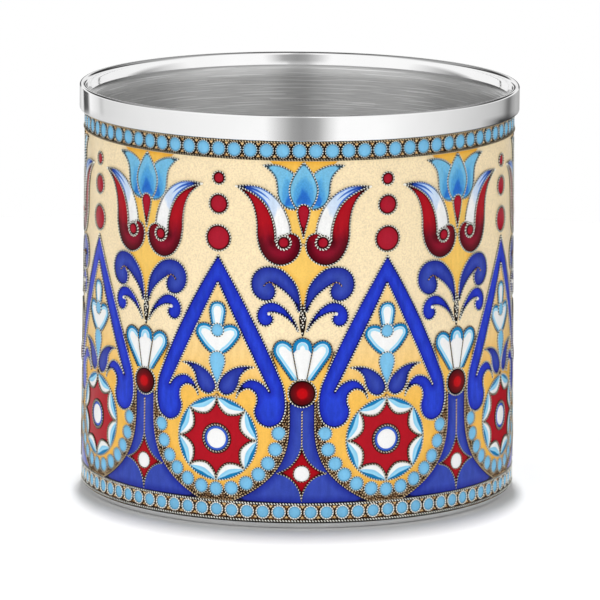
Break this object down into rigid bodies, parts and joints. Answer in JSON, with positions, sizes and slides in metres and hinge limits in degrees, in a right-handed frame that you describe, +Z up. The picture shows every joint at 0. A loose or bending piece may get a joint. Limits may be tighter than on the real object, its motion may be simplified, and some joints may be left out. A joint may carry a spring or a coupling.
{
  "type": "whisky tumbler",
  "caption": "Straight-sided steel whisky tumbler with a polished collar and brushed liner, its sleeve covered in twisted wire and coloured enamel ornament; holds a drink.",
  "frame": {"origin": "middle of the foot's underside, on the surface that the cup stands on", "axes": "+Z up along the cup's axis; the tulip of the first panel faces -Y"},
  "size_m": [0.088, 0.088, 0.0818],
  "materials": {
    "polished_steel": "polished",
    "brushed_steel": "brushed around the cup",
    "copper": "darkened, with bright high spots",
    "silver_wire": "twisted, darkened in the grooves",
    "cream_enamel": "glossy",
    "pale_blue_enamel": "glossy",
    "mid_blue_enamel": "glossy",
    "deep_blue_enamel": "glossy",
    "red_enamel": "glossy",
    "white_enamel": "glossy",
    "yellow_enamel": "glossy"
  },
  "bodies": {
    "root": {"liner_cup": "brushed_steel", "rim_collar": "polished_steel", "foot_ring": "polished_steel", "base_plate": "brushed_steel", "sleeve": "copper", "ground_enamel": "cream_enamel", "lower_border_lower_wire": "silver_wire", "lower_bead_band": "copper", "lower_border_upper_wire": "silver_wire", "upper_border_lower_wire": "silver_wire", "upper_bead_band": "copper", "upper_border_upper_wire": "silver_wire", "tulip_1": "pale_blue_enamel", "tulip_2": "pale_blue_enamel", "tulip_3": "pale_blue_enamel", "tulip_4": "pale_blue_enamel", "tulip_5": "pale_blue_enamel", "tulip_6": "pale_blue_enamel", "tulip_7": "pale_blue_enamel", "tulip_8": "pale_blue_enamel", "volutes_1": "red_enamel", "volutes_2": "red_enamel", "volutes_3": "red_enamel", "volutes_4": "red_enamel", "volutes_5": "red_enamel", "volutes_6": "red_enamel", "volutes_7": "red_enamel", "volutes_8": "red_enamel", "scrolls_1": "mid_blue_enamel", "scrolls_2": "mid_blue_enamel", "scrolls_3": "mid_blue_enamel", "scrolls_4": "mid_blue_enamel", "scrolls_5": "mid_blue_enamel", "scrolls_6": "mid_blue_enamel", "scrolls_7": "mid_blue_enamel", "scrolls_8": "mid_blue_enamel", "stem_1": "mid_blue_enamel", "stem_2": "mid_blue_enamel", "stem_3": "mid_blue_enamel", "stem_4": "mid_blue_enamel", "stem_5": "mid_blue_enamel", "stem_6": "mid_blue_enamel", "stem_7": "mid_blue_enamel", "stem_8": "mid_blue_enamel", "chevron_1": "deep_blue_enamel", "chevron_2": "deep_blue_enamel", "chevron_3": "deep_blue_enamel", "chevron_4": "deep_blue_enamel", "chevron_5": "deep_blue_enamel", "chevron_6": "deep_blue_enamel", "chevron_7": "deep_blue_enamel", "chevron_8": "deep_blue_enamel", "rosette_1": "red_enamel", "rosette_2": "red_enamel", "rosette_3": "red_enamel", "rosette_4": "red_enamel", "rosette_5": "red_enamel", "rosette_6": "red_enamel", "rosette_7": "red_enamel", "rosette_8": "red_enamel"}
  },
  "joints": []
}
